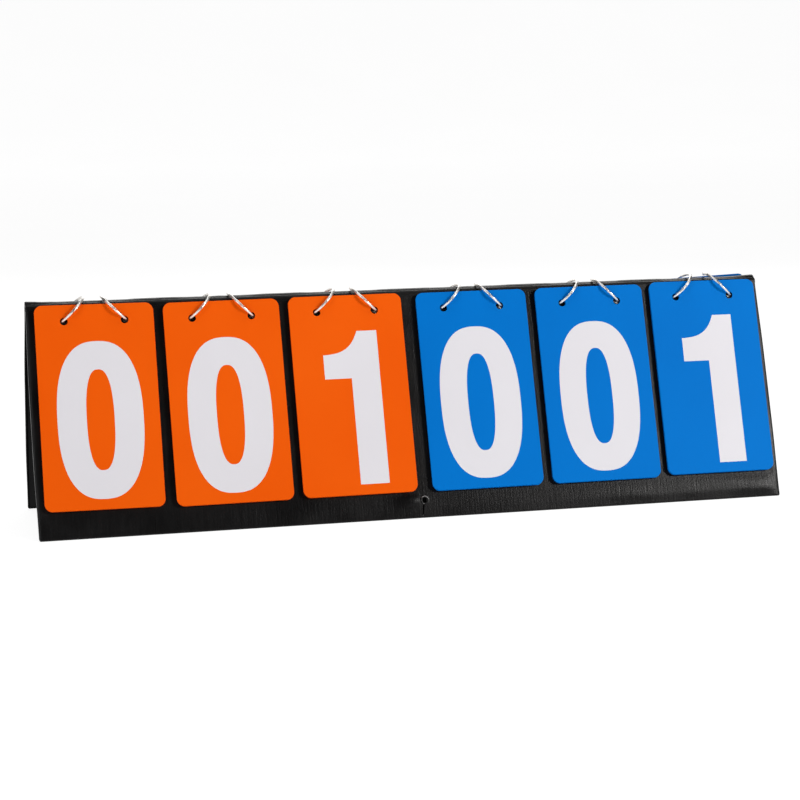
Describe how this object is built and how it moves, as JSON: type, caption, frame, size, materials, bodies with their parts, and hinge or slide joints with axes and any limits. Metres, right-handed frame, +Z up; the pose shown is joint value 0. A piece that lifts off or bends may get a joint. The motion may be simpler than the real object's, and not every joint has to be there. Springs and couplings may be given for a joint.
{
  "type": "tabletop flip scoreboard",
  "caption": "Tent-shaped flip scoreboard with ring-bound number cards, orange for one side and blue for the other, that stands on a table.",
  "frame": {"origin": "on the table, under the middle of the board", "axes": "+Z up, +X to the right of someone who reads the score, +Y towards the back"},
  "size_m": [0.6035, 0.1312, 0.1799],
  "materials": {
    "black_leatherette": "fine-grained black leatherette, semi-matt",
    "black_lining": "plain black lining sheet",
    "grey_board": "grey bookbinder's board, pressed paper fibre",
    "orange_card": "satin orange PVC sheet",
    "blue_card": "satin blue PVC sheet",
    "nickel_wire": "bright nickel-plated steel wire"
  },
  "bodies": {
    "spine": {"front_hinge_strip": "black_leatherette", "rear_hinge_strip": "black_leatherette", "spine_board_left": "grey_board", "spine_board_right": "grey_board", "spine_cover": "black_leatherette", "spine_lining": "black_lining"},
    "front_panel": {"card_1_next": "orange_card", "card_1_stack": "orange_card", "card_2_next": "orange_card", "card_2_stack": "orange_card", "card_3_next": "orange_card", "card_3_stack": "orange_card", "card_4_next": "blue_card", "card_4_stack": "blue_card", "card_5_next": "blue_card", "card_5_stack": "blue_card", "card_6_next": "blue_card", "card_6_stack": "blue_card", "front_board_left": "grey_board", "front_board_right": "grey_board", "front_cover": "black_leatherette", "front_lining": "black_lining"},
    "rear_panel": {"card_3_flipped": "orange_card", "card_6_flipped": "blue_card", "rear_board_left": "grey_board", "rear_board_right": "grey_board", "rear_cover": "black_leatherette", "rear_lining": "black_lining"},
    "top_card_1": {"card_1_top": "orange_card"},
    "top_card_2": {"card_2_top": "orange_card"},
    "top_card_3": {"card_3_top": "orange_card"},
    "top_card_4": {"card_4_top": "blue_card"},
    "top_card_5": {"card_5_top": "blue_card"},
    "top_card_6": {"card_6_top": "blue_card"},
    "ring_1_left": {"ring_1_left_lower": "nickel_wire", "ring_1_left_upper": "nickel_wire"},
    "ring_1_right": {"ring_1_right_lower": "nickel_wire", "ring_1_right_upper": "nickel_wire"},
    "ring_2_left": {"ring_2_left_lower": "nickel_wire", "ring_2_left_upper": "nickel_wire"},
    "ring_2_right": {"ring_2_right_lower": "nickel_wire", "ring_2_right_upper": "nickel_wire"},
    "ring_3_left": {"ring_3_left_lower": "nickel_wire", "ring_3_left_upper": "nickel_wire"},
    "ring_3_right": {"ring_3_right_lower": "nickel_wire", "ring_3_right_upper": "nickel_wire"},
    "ring_4_left": {"ring_4_left_lower": "nickel_wire", "ring_4_left_upper": "nickel_wire"},
    "ring_4_right": {"ring_4_right_lower": "nickel_wire", "ring_4_right_upper": "nickel_wire"},
    "ring_5_left": {"ring_5_left_lower": "nickel_wire", "ring_5_left_upper": "nickel_wire"},
    "ring_5_right": {"ring_5_right_lower": "nickel_wire", "ring_5_right_upper": "nickel_wire"},
    "ring_6_left": {"ring_6_left_lower": "nickel_wire", "ring_6_left_upper": "nickel_wire"},
    "ring_6_right": {"ring_6_right_lower": "nickel_wire", "ring_6_right_upper": "nickel_wire"}
  },
  "joints": [
    {"name": "front_fold", "type": "hinge", "parent": "spine", "child": "front_panel", "pos_m": [0, -0.00455, 0.172], "axis": [-1, 0, 0], "range_deg": [-19, 0]},
    {"name": "rear_fold", "type": "hinge", "parent": "spine", "child": "rear_panel", "pos_m": [0, 0.00455, 0.172], "axis": [1, 0, 0], "range_deg": [-19, 0]},
    {"name": "lift_1", "type": "hinge", "parent": "front_panel", "child": "top_card_1", "pos_m": [-0.2492, 0.00672, 0.17022], "axis": [-1, 0, 0], "range_deg": [0, 18]},
    {"name": "swing_1_left", "type": "hinge", "parent": "front_panel", "child": "ring_1_left", "pos_m": [-0.27285, -0.01458, 0.16192], "axis": [0, -1, -0.0079], "range_deg": [0, 47]},
    {"name": "swing_1_right", "type": "hinge", "parent": "front_panel", "child": "ring_1_right", "pos_m": [-0.22555, -0.01458, 0.16192], "axis": [0, 1, 0.0079], "range_deg": [0, 47]},
    {"name": "lift_2", "type": "hinge", "parent": "front_panel", "child": "top_card_2", "pos_m": [-0.1498, 0.00636, 0.16918], "axis": [-1, 0, 0], "range_deg": [0, 18]},
    {"name": "swing_2_left", "type": "hinge", "parent": "front_panel", "child": "ring_2_left", "pos_m": [-0.17345, -0.01494, 0.16088], "axis": [0, -1, -0.0077], "range_deg": [0, 47]},
    {"name": "swing_2_right", "type": "hinge", "parent": "front_panel", "child": "ring_2_right", "pos_m": [-0.12615, -0.01494, 0.16088], "axis": [0, 1, 0.0077], "range_deg": [0, 47]},
    {"name": "lift_3", "type": "hinge", "parent": "front_panel", "child": "top_card_3", "pos_m": [-0.0506, 0.00653, 0.16965], "axis": [-1, 0, 0], "range_deg": [0, 18]},
    {"name": "swing_3_left", "type": "hinge", "parent": "front_panel", "child": "ring_3_left", "pos_m": [-0.07425, -0.01477, 0.16135], "axis": [0, -1, -0.0078], "range_deg": [0, 47]},
    {"name": "swing_3_right", "type": "hinge", "parent": "front_panel", "child": "ring_3_right", "pos_m": [-0.02695, -0.01477, 0.16135], "axis": [0, 1, 0.0078], "range_deg": [0, 47]},
    {"name": "lift_4", "type": "hinge", "parent": "front_panel", "child": "top_card_4", "pos_m": [0.0532, 0.00639, 0.16927], "axis": [-1, 0, 0], "range_deg": [0, 18]},
    {"name": "swing_4_left", "type": "hinge", "parent": "front_panel", "child": "ring_4_left", "pos_m": [0.02955, -0.0149, 0.16097], "axis": [0, -1, -0.0077], "range_deg": [0, 47]},
    {"name": "swing_4_right", "type": "hinge", "parent": "front_panel", "child": "ring_4_right", "pos_m": [0.07685, -0.0149, 0.16097], "axis": [0, 1, 0.0077], "range_deg": [0, 47]},
    {"name": "lift_5", "type": "hinge", "parent": "front_panel", "child": "top_card_5", "pos_m": [0.1528, 0.00646, 0.16946], "axis": [-1, 0, 0], "range_deg": [0, 18]},
    {"name": "swing_5_left", "type": "hinge", "parent": "front_panel", "child": "ring_5_left", "pos_m": [0.12915, -0.01484, 0.16116], "axis": [0, -1, -0.0078], "range_deg": [0, 47]},
    {"name": "swing_5_right", "type": "hinge", "parent": "front_panel", "child": "ring_5_right", "pos_m": [0.17645, -0.01484, 0.16116], "axis": [0, 1, 0.0078], "range_deg": [0, 47]},
    {"name": "lift_6", "type": "hinge", "parent": "front_panel", "child": "top_card_6", "pos_m": [0.2511, 0.00682, 0.1705], "axis": [-1, 0, 0], "range_deg": [0, 18]},
    {"name": "swing_6_left", "type": "hinge", "parent": "front_panel", "child": "ring_6_left", "pos_m": [0.22745, -0.01448, 0.1622], "axis": [0, -1, 0], "range_deg": [0, 47]},
    {"name": "swing_6_right", "type": "hinge", "parent": "front_panel", "child": "ring_6_right", "pos_m": [0.27475, -0.01448, 0.1622], "axis": [0, 0.9996, 0.0282], "range_deg": [0, 47]}
  ],
  "couplings": [
    {"joint": "rear_fold", "follows": "front_fold", "ratio": 1},
    {"joint": "swing_1_left", "follows": "lift_1", "ratio": 2.6},
    {"joint": "swing_1_right", "follows": "lift_1", "ratio": 2.6},
    {"joint": "swing_2_left", "follows": "lift_2", "ratio": 2.6},
    {"joint": "swing_2_right", "follows": "lift_2", "ratio": 2.6},
    {"joint": "swing_3_left", "follows": "lift_3", "ratio": 2.6},
    {"joint": "swing_3_right", "follows": "lift_3", "ratio": 2.6},
    {"joint": "swing_4_left", "follows": "lift_4", "ratio": 2.6},
    {"joint": "swing_4_right", "follows": "lift_4", "ratio": 2.6},
    {"joint": "swing_5_left", "follows": "lift_5", "ratio": 2.6},
    {"joint": "swing_5_right", "follows": "lift_5", "ratio": 2.6},
    {"joint": "swing_6_left", "follows": "lift_6", "ratio": 2.6},
    {"joint": "swing_6_right", "follows": "lift_6", "ratio": 2.6}
  ]
}
